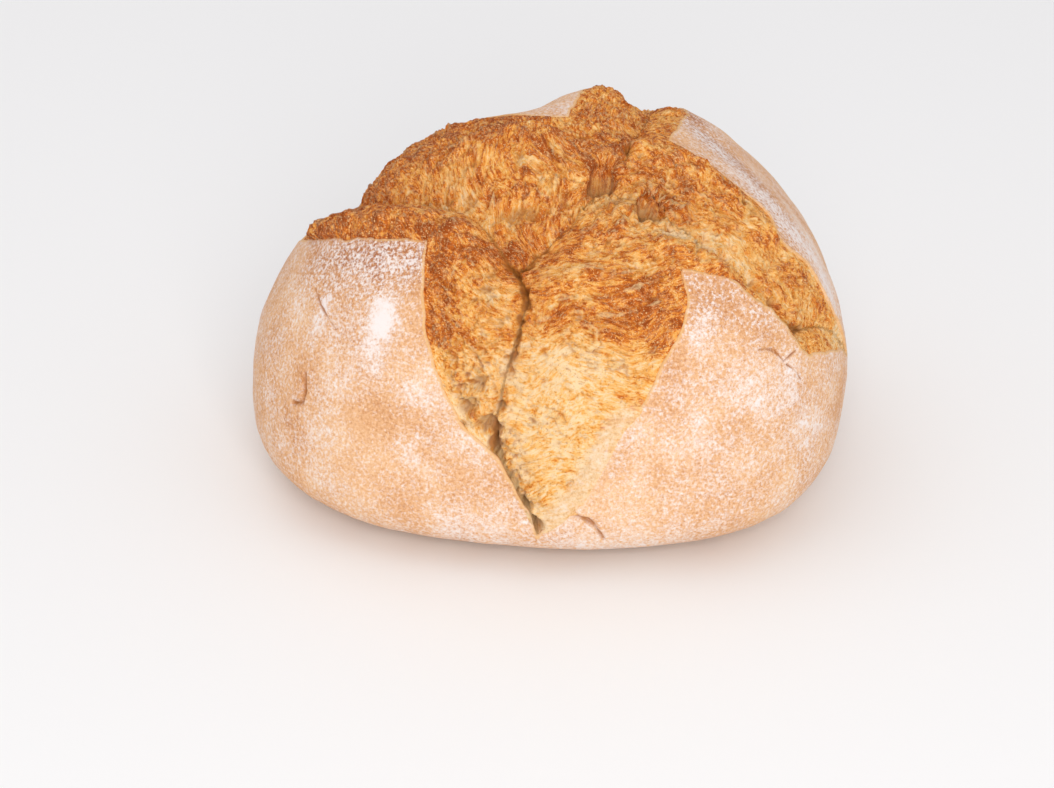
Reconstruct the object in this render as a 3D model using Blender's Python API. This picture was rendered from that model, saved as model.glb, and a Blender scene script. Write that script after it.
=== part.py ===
"""Crusty round country loaf, scored with a cross and burst open in the oven.

The loaf is one body. A domed round stands on a flat foot, four petals of floured crust lie on it, and
between them the crumb has torn open along four cracks that meet near the crown.

Places on the loaf are given on its skin map, in millimetres: (0, 0) is the crown, and a point's distance
from it is SKIN_SCALE times its angle down from the crown, seen from the middle of the girth. +X is to the
right and +Y to the back. Heights above the skin are in millimetres too.
"""
import bmesh
import bpy
import numpy as np

MM = 0.001

# The plain dome, before it burst
HALF_WIDTH = 110.0
HALF_DEPTH = 100.5
HEIGHT = 138.5
GIRTH_HEIGHT = 43.0
FOOT_DROP = 1.03 * GIRTH_HEIGHT
CROWN_SHIFT = (10.4, 14.3)
STAND_SHIFT = (0.6, -3.9)
SKIN_SCALE = 100.0

# How full the dome's outlines are: 2 is an ellipse, more is squarer
PLAN_POWER = 2.47
FOOT_POWER = 3.8
SHOULDER_POWER = {"mean": 1.98, "front_less_back": 0.57, "sides_less_ends": 0.21, "diagonal": 0.12}
PLAN_LOBES = (-0.034, -0.016)
LOBES_LOST_BEHIND = 0.75

# The crust's rim round the opening
CRUST_STEP = 1.6
CRUST_STEP_RUN = 3.0
RIM_LIFT = 0.9
RIM_LIFT_RUN = 9.0
ON_RIM = 0.3

# Where the whole skin lies lower than the plain dome: place on the skin map, drop and radius
DIPS = [(-24, 36, 7.0, 19.0), (-20, 4, 2.6, 13.0), (-98, 54, 5.5, 17.0), (-98, 24, 6.0, 14.0),
        (-85, 20, 2.0, 14.0), (27, 34, 5.0, 12.0), (42, 54, 2.6, 14.0), (92, 44, 1.7, 32.0)]

# Where each arm of the opening ends
FRONT_TIP = (-11, -184)
LEFT_TIP = (-128, 24)
REAR_TIP = (24, 114)
RIGHT_TIP = (141, -42)

# Each petal's edge, from one arm's end to its corner and on to the next arm's end
PETALS = {
    "front_left": (
        [FRONT_TIP, (-23, -165), (-34, -148), (-49, -133), (-54, -118), (-57, -104), (-56, -84), (-53, -67)],
        [(-53, -67), (-64, -62), (-75, -54), (-92, -40), (-112, -14), LEFT_TIP],
    ),
    "rear_left": (
        [LEFT_TIP, (-98, 30), (-68, 27), (-42, 9), (-24, -8), (-14, -16), (-3, -17)],
        [(-3, -17), (-1, -2), (4, 29), (10, 72), REAR_TIP],
    ),
    "rear_right": (
        [REAR_TIP, (42, 74), (46, 26), (43, 8), (37, -14), (34, -25)],
        [(34, -25), (47, -32), (61, -38), (74, -41), (80, -52), (94, -48), (108, -51), (126, -47), RIGHT_TIP],
    ),
    "front_right": (
        [RIGHT_TIP, (122, -62), (108, -75), (96, -83), (85, -82), (74, -81), (56, -80), (38, -82)],
        [(38, -82), (42, -92), (42, -102), (37, -115), (33, -128), (22, -139), (17, -155), (5, -169),
         FRONT_TIP],
    ),
}

# Each crack runs along the bottom of a valley: place on the skin map, and depth
CRACKS = {
    "front": [(-25, -84, 15), (-20, -94, 13), (-23, -105, 11), (-31, -124, 9), (-37, -144, 7),
              (-30, -160, 6), (-20, -173, 5), (-11, -183, 3)],
    "left": [(-25, -84, 15), (-37, -63, 15), (-54, -45, 14), (-78, -26, 12), (-101, -4, 8), (-126, 22, 3)],
    "rear": [(-25, -84, 15), (-12, -75, 13), (-2, -66, 12), (4, -56, 11), (10, -49, 10), (17, -40, 5),
             (20, -26, 5), (28, -3, 7), (34, 36, 8), (28, 80, 5), (24, 112, 2)],
    "right": [(10, -49, 10), (18, -56, 6), (27, -60, 9), (40, -66, 7), (56, -73, 6), (70, -77, 6),
              (82, -79, 6), (92, -79, 7), (101, -71, 6), (110, -63, 5), (124, -53, 4), (139, -43, 2)],
}
VALLEY_POWER = 2.5
FLOOR_WIDTH = 2.5

# Torn crumb that stands up beside the cracks: places on the skin map, height, and width to each side
RIDGES = {
    "front_left_top": ([(-101, -26), (-88, -37), (-62, -54), (-46, -63), (-34, -73)], 5.0, 7.0),
    "front_left_nose": ([(-42, -70), (-37, -84), (-35, -98)], 4.0, 9.0),
    "front_right_top": ([(-12, -92), (3, -89), (16, -89), (33, -85)], 3.0, 8.0),
    "front_right_fold": ([(24, -79), (40, -74), (54, -78)], 3.0, 4.0),
    "rear_left_pillow": ([(-70, -14), (-58, -20), (-38, -26), (-18, -30)], 3.0, 14.0),
    "rear_left_low_end": ([(-108, 10), (-100, 8)], -3.0, 9.0),
    "rear_left_tip": ([(3, -14), (5, 0), (10, 26)], 0.8, 7.0),
    "rear_right_fold": ([(20, -33), (36, -34), (54, -43), (72, -53)], 3.5, 6.0),
    "middle_knob": ([(4, -72), (13, -70)], 4.0, 8.0),
    "cave_roof": ([(-1, -53), (0, -45), (4, -39), (11, -38), (17, -43)], 3.0, 2.6),
    "second_cave_roof": ([(16, -61), (21, -53), (26, -51), (33, -55), (36, -60)], 2.6, 2.4),
    "rear_left_rim": ([(-90, 14), (-64, 9), (-44, 0)], 1.6, 6.0),
}

# Hollows in the torn crumb: place on the skin map, depth and radius
HOLLOWS = [(5, -48, 4.0, 4.0), (10, -47, 5.0, 4.0), (24, -60, 4.5, 3.2), (29, -61, 4.0, 3.0),
           (-40, -119, 4.0, 3.0), (-46, -126, 3.5, 2.6), (-39, -134, 4.0, 3.0), (92, -78, 3.0, 2.6),
           (-15, -178, 5.0, 3.4)]

# Soft unevenness all over: size of the swells and their height, on crust and on torn crumb
FOOT_BAND = 12.0
SWELL_SIZE = 46.0
SWELL_HEIGHT = 0.9
LUMP_SIZE = 13.0
LUMP_HEIGHT = 1.1

# Mesh
SPHERE_CUTS = 5
CURVE_STEP = 4.0
NEAR_OPENING = 6.0
PULL_REACH = 1.3


def plan_radius(turn):
    """Girth's radius in each direction: a rounded oval with three soft lobes, which fade behind."""
    across = np.abs(np.cos(turn) / HALF_WIDTH) ** PLAN_POWER
    along = np.abs(np.sin(turn) / HALF_DEPTH) ** PLAN_POWER
    lobes = PLAN_LOBES[0] * np.cos(3 * turn) + PLAN_LOBES[1] * np.sin(3 * turn)
    kept = 1 - LOBES_LOST_BEHIND * np.maximum(np.sin(turn), 0)
    return (across + along) ** (-1 / PLAN_POWER) * (1 + lobes * kept)


def shoulder_power(turn):
    """How full the dome's shoulder is in each direction."""
    return (SHOULDER_POWER["mean"] - SHOULDER_POWER["front_less_back"] * np.sin(turn)
            - SHOULDER_POWER["sides_less_ends"] * np.cos(2 * turn)
            + SHOULDER_POWER["diagonal"] * np.sin(2 * turn))


def dome(fall, turn):
    """Points and outward directions of the plain dome, fall being the angle down from the crown."""
    radius = plan_radius(turn)
    above = np.cos(fall) > 0
    power = np.where(above, shoulder_power(turn), FOOT_POWER)
    reach = np.where(above, HEIGHT - GIRTH_HEIGHT, FOOT_DROP)
    flat, rise = np.sin(fall) / radius, np.abs(np.cos(fall)) / reach
    length = (flat ** power + rise ** power) ** (-1 / power)
    out, up = length * np.sin(fall), length * np.cos(fall)
    height = np.maximum(GIRTH_HEIGHT + up, 0.0)
    lean = height / HEIGHT
    points = np.stack([
        out * np.cos(turn) + CROWN_SHIFT[0] * lean + STAND_SHIFT[0],
        out * np.sin(turn) + CROWN_SHIFT[1] * lean + STAND_SHIFT[1],
        height], axis=-1)
    slope_out = (out / radius) ** (power - 1) / radius
    slope_up = np.sign(up) * (np.abs(up) / reach) ** (power - 1) / reach
    steep = np.hypot(slope_out, slope_up)
    outward = np.stack([
        slope_out / steep * np.cos(turn),
        slope_out / steep * np.sin(turn),
        slope_up / steep], axis=-1)
    return points, outward


def angles(places):
    """Angle down from the crown and angle round it, at places on the skin map."""
    places = np.asarray(places, dtype=float)
    return np.hypot(places[:, 0], places[:, 1]) / SKIN_SCALE, np.arctan2(places[:, 1], places[:, 0])


def on_map(directions):
    """Places on the skin map of directions from the middle of the girth."""
    fall = np.arccos(np.clip(directions[:, 2], -1, 1))
    turn = np.arctan2(directions[:, 1], directions[:, 0])
    return SKIN_SCALE * fall[:, None] * np.stack([np.cos(turn), np.sin(turn)], axis=-1)


def on_dome(places):
    """Points of the plain dome at places on the skin map."""
    return dome(*angles(places))[0]


def smooth_curve(knots):
    """A curve through all knots (Catmull-Rom), with a point about every CURVE_STEP."""
    knots = np.asarray(knots, dtype=float)
    ends = np.vstack([2 * knots[0] - knots[1], knots, 2 * knots[-1] - knots[-2]])
    points = []
    for a, b, c, d in zip(ends, ends[1:], ends[2:], ends[3:]):
        steps = max(1, round(float(np.linalg.norm(c[:2] - b[:2])) / CURVE_STEP))
        for t in np.arange(steps) / steps:
            points.append(0.5 * (2 * b + (c - a) * t + (2 * a - 5 * b + 4 * c - d) * t ** 2
                                 + (3 * b - a - 3 * c + d) * t ** 3))
    points.append(knots[-1])
    return np.array(points)


def to_curve(points, curve):
    """Distance from each point to a curve in space, and how far along the curve (in knots) it is nearest."""
    best = np.full(len(points), np.inf)
    along = np.zeros(len(points))
    for i, (start, end) in enumerate(zip(curve, curve[1:])):
        step = end - start
        t = np.clip((points - start) @ step / max(step @ step, 1e-9), 0, 1)
        gap = np.linalg.norm(points - start - t[:, None] * step, axis=1)
        nearer = gap < best
        best[nearer] = gap[nearer]
        along[nearer] = i + t[nearer]
    return best, along


def pull_to(directions, curve):
    """Directions, with those nearest to a curve on the skin map moved onto it, so that it shows crisp."""
    gap, along = to_curve(on_map(directions), curve)
    knots = np.arange(len(curve))
    onto = np.stack([np.interp(along, knots, curve[:, axis]) for axis in (0, 1)], axis=-1)
    fall, turn = angles(onto)
    pulled = np.stack([np.sin(fall) * np.cos(turn), np.sin(fall) * np.sin(turn), np.cos(fall)], axis=-1)
    return np.where((gap < PULL_REACH)[:, None], pulled, directions)


def inside(places, outline):
    """Whether each place on the skin map lies inside a closed outline."""
    x, y = places[:, 0], places[:, 1]
    result = np.zeros(len(places), dtype=bool)
    for (x0, y0), (x1, y1) in zip(outline, np.roll(outline, -1, axis=0)):
        crosses = (y0 > y) != (y1 > y)
        if y1 != y0:
            result ^= crosses & (x < x0 + (y - y0) * (x1 - x0) / (y1 - y0))
    return result


def blend(low, high, value):
    """Smooth step from 0 at low to 1 at high."""
    t = np.clip((value - low) / (high - low), 0, 1)
    return t * t * (3 - 2 * t)


def waves(points, size, seed):
    """Smooth random swells of about the given size, between -1 and 1, the same each run."""
    table = np.random.default_rng(seed).uniform(-1, 1, (32, 32, 32))
    scaled = points / size + 100.0
    cell = np.floor(scaled).astype(int)
    part = scaled - cell
    part = part * part * (3 - 2 * part)
    total = np.zeros(len(points))
    for corner in np.ndindex(2, 2, 2):
        share = np.ones(len(points))
        for axis in range(3):
            share *= part[:, axis] if corner[axis] else 1 - part[:, axis]
        index = (cell + corner) % 32
        total += share * table[index[:, 0], index[:, 1], index[:, 2]]
    return total


def opening_outline():
    """The cross-shaped opening between the petals, on the skin map, back to its first point."""
    points = np.vstack([smooth_curve(side)[:-1] for petal in PETALS.values() for side in petal])
    return np.vstack([points, points[:1]])


def height_on_skin(places, points):
    """Height of crust and crumb over the plain dome."""
    outline = opening_outline()
    to_rim, _ = to_curve(points, on_dome(outline))
    torn = inside(places, outline) & (to_rim > ON_RIM)

    to_crack = np.full(len(points), np.inf)
    depth = np.zeros(len(points))
    for knots in CRACKS.values():
        curve = smooth_curve(knots)
        gap, along = to_curve(points, on_dome(curve[:, :2]))
        nearer = gap < to_crack
        to_crack[nearer] = gap[nearer]
        depth[nearer] = np.interp(along[nearer], np.arange(len(curve)), curve[:, 2])

    crust = RIM_LIFT * np.exp(-to_rim / RIM_LIFT_RUN)
    inwards = to_rim / (to_rim + np.hypot(to_crack, FLOOR_WIDTH))
    crumb = -depth * inwards ** VALLEY_POWER
    crumb -= CRUST_STEP * blend(0, CRUST_STEP_RUN, to_rim) * (1 - inwards)
    for knots, rise, width in RIDGES.values():
        gap, _ = to_curve(points, on_dome(smooth_curve(knots)))
        crumb += rise * np.exp(-(gap / width) ** 2)
    for u, v, drop, radius in HOLLOWS:
        gap = np.linalg.norm(points - on_dome([(u, v)]), axis=1)
        crumb -= drop * np.exp(-(gap / radius) ** 2)
    crumb += LUMP_HEIGHT * waves(points, LUMP_SIZE, seed=3) * blend(0, LUMP_SIZE, to_rim)

    sag = SWELL_HEIGHT * waves(points, SWELL_SIZE, seed=8)
    for u, v, drop, radius in DIPS:
        gap = np.linalg.norm(points - on_dome([(u, v)]), axis=1)
        sag -= drop * np.exp(-(gap / radius) ** 2)
    return sag + np.where(torn, crumb, crust)


def shape(directions):
    """Points of the loaf's skin, in millimetres, for directions from the middle of its girth."""
    places = on_map(directions)
    points, outward = dome(*angles(places))
    lifted = points + height_on_skin(places, points)[:, None] * outward
    foot = blend(0, FOOT_BAND, points[:, 2])[:, None]
    shaped = points + foot * (lifted - points)
    shaped[:, 2] = np.maximum(shaped[:, 2], 0)
    return shaped


def bread_material():
    """Baked wheat crust: pale tan, dry and matt."""
    material = bpy.data.materials.new("baked_crust")
    material.use_nodes = True
    surface = material.node_tree.nodes["Principled BSDF"]
    surface.inputs["Base Color"].default_value = (0.62, 0.36, 0.16, 1)
    surface.inputs["Roughness"].default_value = 0.8
    surface.inputs["Metallic"].default_value = 0.0
    return material


def make_bread(collection):
    """One closed body: a ball of even triangles, finer over the opening, drawn out to the loaf's skin."""
    bpy.ops.mesh.primitive_ico_sphere_add(subdivisions=SPHERE_CUTS, radius=1.0)
    bread = bpy.context.object
    bread.name = "bread"
    bread.data.name = "bread"
    for owner in bread.users_collection:
        owner.objects.unlink(bread)
    collection.objects.link(bread)

    ball = bmesh.new()
    ball.from_mesh(bread.data)
    places = on_map(np.array([vertex.co.normalized() for vertex in ball.verts]))
    outline = opening_outline()
    to_rim, _ = to_curve(on_dome(places), on_dome(outline))
    fine = inside(places, outline) | (to_rim < NEAR_OPENING)
    ball.verts.ensure_lookup_table()
    edges = [edge for edge in ball.edges if all(fine[vertex.index] for vertex in edge.verts)]
    bmesh.ops.subdivide_edges(ball, edges=edges, cuts=1, use_grid_fill=True)
    bmesh.ops.triangulate(ball, faces=ball.faces)

    directions = np.array([vertex.co.normalized() for vertex in ball.verts])
    for knots in CRACKS.values():
        directions = pull_to(directions, smooth_curve(knots)[:, :2])
    directions = pull_to(directions, outline)
    for vertex, point in zip(ball.verts, shape(directions)):
        vertex.co = point * MM
    bmesh.ops.recalc_face_normals(ball, faces=ball.faces)
    ball.to_mesh(bread.data)
    ball.free()
    bread.data.shade_smooth()
    bread.data.materials.append(bread_material())
    return bread


def main():
    for old in list(bpy.data.objects):
        bpy.data.objects.remove(old, do_unlink=True)
    collection = bpy.data.collections.new("country_loaf")
    bpy.context.scene.collection.children.link(collection)
    make_bread(collection)


main()
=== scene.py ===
"""Crusty round country loaf: four floured petals of crust over torn, oven-browned crumb.

Lengths are in millimetres until a mesh is written. Places on the loaf are given on its skin map: (0, 0) is
the crown, and a point's distance from it is SKIN_SCALE times its angle down from the crown, seen from the
middle of the girth. +X is to the right and +Y to the back.
"""

import math

import bpy
import numpy as np
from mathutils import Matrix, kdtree


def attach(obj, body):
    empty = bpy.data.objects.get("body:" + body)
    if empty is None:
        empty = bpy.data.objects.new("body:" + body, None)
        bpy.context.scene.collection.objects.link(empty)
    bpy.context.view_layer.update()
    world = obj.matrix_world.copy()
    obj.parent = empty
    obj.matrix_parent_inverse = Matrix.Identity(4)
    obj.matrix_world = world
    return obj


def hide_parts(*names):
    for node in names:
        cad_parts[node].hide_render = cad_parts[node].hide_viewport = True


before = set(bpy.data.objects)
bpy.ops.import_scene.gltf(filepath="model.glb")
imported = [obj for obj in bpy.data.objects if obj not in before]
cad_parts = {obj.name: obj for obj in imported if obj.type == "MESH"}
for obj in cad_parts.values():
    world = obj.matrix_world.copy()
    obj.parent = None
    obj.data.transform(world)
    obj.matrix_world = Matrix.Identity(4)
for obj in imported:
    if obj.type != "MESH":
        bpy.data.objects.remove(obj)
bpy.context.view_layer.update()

MM = 0.001

# Settings that many nodes share: a sum's first value is scaled by its second before its third is added
SCALE_AND_ADD = {"operation": "MULTIPLY_ADD"}
COLOURS = {"data_type": "RGBA"}

# The plain dome, before it burst
HALF_WIDTH = 110.0
HALF_DEPTH = 100.5
HEIGHT = 138.5
GIRTH_HEIGHT = 43.0
FOOT_DROP = 1.03 * GIRTH_HEIGHT
CROWN_SHIFT = (10.4, 14.3)
STAND_SHIFT = (0.6, -3.9)
SKIN_SCALE = 100.0

# How full the dome's outlines are: 2 is an ellipse, more is squarer
PLAN_POWER = 2.47
FOOT_POWER = 3.8
SHOULDER_POWER = {"mean": 1.98, "front_less_back": 0.57, "sides_less_ends": 0.21, "diagonal": 0.12}
PLAN_LOBES = (-0.034, -0.016)
LOBES_LOST_BEHIND = 0.75

# Crust: its thickness, how it lifts at its torn rim, how far down the crumb beside it starts, and its small
# notches and dimples as size, height and seed
CRUST_THICKNESS = 1.6
UNDER_CRUST = 2.4
RIM_LIFT = 0.7
RIM_LIFT_RUN = 9.0
CRUMB_STEP = 0.8
CRUMB_STEP_RUN = 3.0
RIM_OVERLAP = (-1.5, -0.8)
RIM_FADE = 0.5
NOTCHES = [(9.0, 0.9, 21), (3.0, 0.65, 22)]
DIMPLES = [(9.0, 0.28, 31), (3.5, 0.10, 32)]
DIMPLE_FADE = 8.0

# Where the crust thins out into the crumb without an edge, and how far that reaches. There the crust sinks
# (depth and width), the crumb lies less deep under it, the two overlap and fade into each other, and they
# share one colour (most and width)
SOFT_RIM = [(27, -136), (20, -148), (12, -161), (1, -172)]
SOFT_REACH = 10.0
SOFT_SINK = (1.3, 3.5)
SOFT_UNDER = 0.75
SOFT_OVERLAP = 7.0
SOFT_FADE = 6.0
SOFT_COLOUR = (0.7, 5.0)

# Where the crust folds back out of sight behind the torn crumb: curve on the skin map, drop and reach
FOLDED_BACK = ([(-104, 31), (-84, 31), (-68, 29), (-52, 18)], 3.5, 9.0)

# Where the whole skin lies lower than the plain dome: place on the skin map, drop and radius
DIPS = [(-24, 36, 7.0, 19.0), (-20, 4, 2.6, 13.0), (-98, 54, 5.5, 17.0), (-98, 24, 6.0, 14.0),
        (-85, 20, 2.0, 14.0), (27, 34, 5.0, 12.0), (42, 54, 2.6, 14.0), (92, 44, 1.7, 32.0)]

# Where each arm of the opening ends
FRONT_TIP = (-11, -184)
LEFT_TIP = (-128, 24)
REAR_TIP = (24, 114)
RIGHT_TIP = (141, -42)

# Each petal's edge, from one arm's end to its corner and on to the next arm's end
PETALS = {
    "front_left": (
        [FRONT_TIP, (-23, -165), (-34, -148), (-49, -133), (-54, -118), (-57, -104), (-56, -84),
         (-53, -67)],
        [(-53, -67), (-64, -62), (-75, -54), (-92, -40), (-112, -14), LEFT_TIP],
    ),
    "rear_left": (
        [LEFT_TIP, (-98, 30), (-68, 27), (-42, 9), (-24, -8), (-14, -16), (-3, -17)],
        [(-3, -17), (-1, -2), (4, 29), (10, 72), REAR_TIP],
    ),
    "rear_right": (
        [REAR_TIP, (42, 74), (46, 26), (43, 8), (37, -14), (34, -25)],
        [(34, -25), (47, -32), (61, -38), (74, -41), (80, -52), (94, -48), (108, -51), (126, -47),
         RIGHT_TIP],
    ),
    "front_right": (
        [RIGHT_TIP, (122, -62), (108, -75), (96, -83), (85, -82), (74, -81), (56, -80), (38, -82)],
        [(38, -82), (42, -92), (42, -102), (37, -115), (33, -128), (22, -139), (17, -155), (5, -169),
         FRONT_TIP],
    ),
}

# Each crack runs along the bottom of a valley: place on the skin map, and depth
CRACKS = {
    "front": [(-25, -84, 15), (-20, -94, 13), (-23, -105, 11), (-31, -124, 9), (-37, -144, 7),
              (-30, -160, 6), (-20, -173, 5), (-11, -183, 3)],
    "left": [(-25, -84, 15), (-37, -63, 15), (-54, -45, 14), (-78, -26, 12), (-101, -4, 8), (-126, 22, 3)],
    "rear": [(-25, -84, 15), (-12, -75, 13), (-2, -66, 12), (4, -56, 11), (10, -49, 10), (17, -40, 5),
             (20, -26, 5), (28, -3, 7), (34, 36, 8), (28, 80, 5), (24, 112, 2)],
    "right": [(10, -49, 10), (18, -56, 6), (27, -60, 9), (40, -66, 7), (56, -73, 6), (70, -77, 6),
              (82, -79, 6), (92, -79, 7), (101, -71, 6), (110, -63, 5), (124, -53, 4), (139, -43, 2)],
}
VALLEY_POWER = 2.5
FLOOR_WIDTH = 2.5

# Where a valley's bottom is split open: places on the skin map and depth, and how each axis of the splits
# wanders, as size, height and seed
FISSURES = [
    [(-30, -74, 1), (-26, -80, 5), (-22, -88, 7), (-20, -94, 6), (-23, -105, 5), (-29, -118, 2),
     (-34, -132, 2), (-37, -144, 4), (-30, -160, 4), (-20, -173, 3), (-11, -183, 1)],
    [(-22, -82, 4), (-14, -76, 2), (-8, -71, 0)],
    [(15, -42, 1), (19, -34, 4), (21, -26, 3), (23, -20, 1)],
    [(70, -76, 1), (80, -78, 5), (86, -79, 2), (92, -78, 6), (97, -74, 3), (101, -71, 1)],
]
FISSURE_WIDTH = 1.2
FISSURE_WANDER = [((7.0, 1.8, 70 + axis), (2.5, 0.9, 73 + axis)) for axis in range(3)]

# Folds of stretched crumb that run into the junction of the cracks: middle, radius, height and spacing
FOLDS_AT = (-26, -66)
FOLDS_RADIUS = 22.0
FOLD_HEIGHT = (0.5, 1.8)
FOLD_SIZE = 5.5
FOLD_REACH = 22.0
HUMP_SIZE = 9.0
HUMP_HEIGHT = 1.3

# Hairline splits in the crust: places, depth and half width
HAIRLINES = [
    ([(-114, -79), (-117, -83), (-121, -85), (-126, -81)], 1.4, 0.8),
    ([(-101, -55), (-99, -64), (-94, -77)], 0.5, 0.4),
    ([(-9, -172), (0, -170), (12, -172), (23, -174), (33, -180)], 1.3, 0.7),
    ([(88, -92), (92, -86)], 0.6, 0.4),
    ([(90, -92), (95, -91), (100, -91)], 0.6, 0.4),
    ([(75, -95), (81, -92), (88, -92)], 0.4, 0.4),
    ([(-60, 60), (-48, 66), (-38, 78)], 0.5, 0.4),
    ([(90, 80), (98, 92), (101, 104)], 0.6, 0.4),
]
HAIRLINE_CUTS = 3
HAIRLINE_WANDER = [(3.0, 0.5, 33)]

# Torn crumb that stands up beside the cracks: places on the skin map, height, and width to each side
RIDGES = {
    "front_left_top": ([(-101, -26), (-88, -37), (-62, -54), (-46, -63), (-34, -73)], 5.0, 7.0),
    "front_left_nose": ([(-42, -70), (-37, -84), (-35, -98)], 4.0, 9.0),
    "front_right_top": ([(-12, -92), (3, -89), (16, -89), (33, -85)], 3.0, 8.0),
    "front_right_fold": ([(24, -79), (40, -74), (54, -78)], 3.0, 4.0),
    "rear_left_pillow": ([(-70, -14), (-58, -20), (-38, -26), (-18, -30)], 3.0, 14.0),
    "rear_left_low_end": ([(-108, 10), (-100, 8)], -3.0, 9.0),
    "rear_left_tip": ([(3, -14), (5, 0), (10, 26)], 0.8, 7.0),
    "rear_right_fold": ([(20, -33), (36, -34), (54, -43), (72, -53)], 3.5, 6.0),
    "middle_knob": ([(4, -72), (13, -70)], 4.0, 8.0),
    "cave_roof": ([(-1, -53), (0, -45), (4, -39), (11, -38), (17, -43)], 3.0, 2.6),
    "second_cave_roof": ([(16, -61), (21, -53), (26, -51), (33, -55), (36, -60)], 2.6, 2.4),
    "rear_left_rim": ([(-90, 14), (-64, 9), (-44, 0)], 1.6, 6.0),
}

# Hollows in the torn crumb: place on the skin map, depth and radius
HOLLOWS = [(5, -48, 4.0, 4.0), (10, -47, 5.0, 4.0), (24, -60, 4.5, 3.2), (29, -61, 4.0, 3.0),
           (-40, -119, 4.0, 3.0), (-46, -126, 3.5, 2.6), (-39, -134, 4.0, 3.0), (92, -78, 3.0, 2.6),
           (80, -76, 2.5, 2.0), (-15, -178, 5.0, 3.4), (-21, -170, 4.0, 2.6), (-33, -131, 3.5, 2.2),
           (-52, -131, 2.5, 2.0)]
HOLLOW_EDGE = [(4.0, 1.2, 61), (1.5, 0.5, 62)]

# Roofs of torn crumb that hang over a cave: places on the skin map, the cave's middle, overhang and width
ROOFS = [
    ([(-1, -53), (0, -46), (4, -40), (11, -39), (17, -44)], (8, -49), 4.0, 2.4),
    ([(17, -60), (21, -54), (26, -52), (31, -55), (35, -60)], (27, -62), 3.0, 2.0),
]

# Soft unevenness all over: size of the swells and their height, on crust and on torn crumb
FOOT_BAND = 12.0
SWELL_SIZE = 46.0
SWELL_HEIGHT = 0.9
LUMP_SIZE = 13.0
LUMP_HEIGHT = 1.1

# How brown the oven made the torn crumb, from 0 for pale to 1 for red-brown: places, level and reach
BROWNING = [
    ([(-108, -14), (-85, -38), (-62, -54), (-46, -64), (-38, -72)], 1.0, 8.0),
    ([(-50, -76), (-48, -95)], 0.97, 9.0),
    ([(-36, -86), (-38, -104), (-50, -114)], 0.42, 8.0),
    ([(-43, -122), (-44, -138), (-30, -158), (-13, -179)], 0.12, 9.0),
    ([(-90, 4), (-60, -12), (-30, -20)], 0.92, 11.0),
    ([(-66, -34), (-50, -42), (-36, -44)], 0.60, 10.0),
    ([(-30, -68), (-42, -56), (-60, -42)], 0.40, 6.0),
    ([(-24, -58), (-14, -70)], 0.78, 8.0),
    ([(-25, -84), (-22, -76)], 0.80, 6.0),
    ([(-8, -50), (2, -44)], 0.76, 9.0),
    ([(-8, -28), (8, -16), (17, -23)], 0.78, 9.0),
    ([(8, 0), (9, 30)], 0.66, 9.0),
    ([(34, 6), (34, 40), (26, 90)], 0.74, 10.0),
    ([(-1, -53), (0, -46), (4, -40), (11, -39), (17, -44)], 0.95, 2.5),
    ([(17, -60), (21, -54), (26, -52), (31, -55), (35, -60)], 0.90, 2.5),
    ([(8, -50), (26, -62)], 0.40, 4.0),
    ([(4, -62), (16, -66), (28, -68)], 0.30, 5.0),
    ([(22, -44), (37, -45), (52, -45)], 0.76, 8.0),
    ([(44, -58), (66, -58)], 0.60, 6.0),
    ([(78, -66), (98, -64), (110, -57)], 0.56, 9.0),
    ([(121, -55), (134, -48)], 0.12, 7.0),
    ([(36, -67), (58, -68)], 0.08, 6.0),
    ([(-2, -74), (9, -72)], 0.90, 7.0),
    ([(13, -80), (26, -77), (-10, -84), (10, -87)], 0.52, 6.0),
    ([(26, -79), (41, -75), (55, -78)], 0.74, 4.0),
    ([(19, -98), (29, -97)], 1.0, 8.0),
    ([(38, -90), (39, -106)], 0.80, 5.0),
    ([(2, -97), (-12, -101)], 0.64, 9.0),
    ([(-4, -124), (16, -128), (-2, -146), (12, -160)], 0.13, 14.0),
    ([(32, -120), (24, -134)], 0.42, 8.0),
]

# Where the crust is baked darker: places, level and reach
TOASTED = [
    ([(-58, -70), (-74, -62), (-94, -50)], 0.65, 14.0),
    ([(44, 24), (58, -10), (88, -36)], 0.60, 11.0),
    ([(44, -86), (70, -86)], 0.35, 9.0),
    ([(-10, 30), (-40, 22)], 0.40, 10.0),
    ([(-130, -30), (-138, -70)], 0.10, 22.0),
]

# Where flour lies thickly on the crust (or has rubbed off, if negative): places, level and reach
FLOURED = [
    ([(-75, -87), (-73, -82)], 1.0, 5.0),
    ([(-68, -66), (-62, -72)], 0.20, 5.0),
    ([(-82, -92), (-80, -98)], 0.4, 4.0),
    ([(-62, -72), (-72, -66), (-90, -50)], 0.16, 9.0),
    ([(-98, -66), (-102, -70)], 0.5, 4.0),
    ([(-57, -84), (-60, -98)], -0.30, 6.0),
    ([(-70, -112), (-66, -116)], 0.35, 4.0),
    ([(-84, -126), (-80, -132)], 0.30, 4.0),
    ([(-92, -118), (-84, -140)], -0.25, 14.0),
    ([(72, -110), (88, -108)], 0.3, 6.0),
    ([(92, -92), (99, -98)], 0.4, 5.0),
    ([(50, -102), (52, -94)], 0.3, 4.0),
    ([(110, -100), (124, -94)], 0.2, 8.0),
    ([(51, 2), (65, -24), (88, -37), (112, -42)], 0.45, 8.0),
    ([(108, -24), (118, -34)], 0.35, 12.0),
    ([(46, 20), (60, 0)], -0.10, 6.0),
    ([(-10, 30), (-30, 26)], 0.30, 10.0),
    ([(40, -86), (60, -86)], -0.2, 6.0),
    ([(-70, -168), (-30, -182), (40, -182), (90, -160)], 0.22, 12.0),
]

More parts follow.
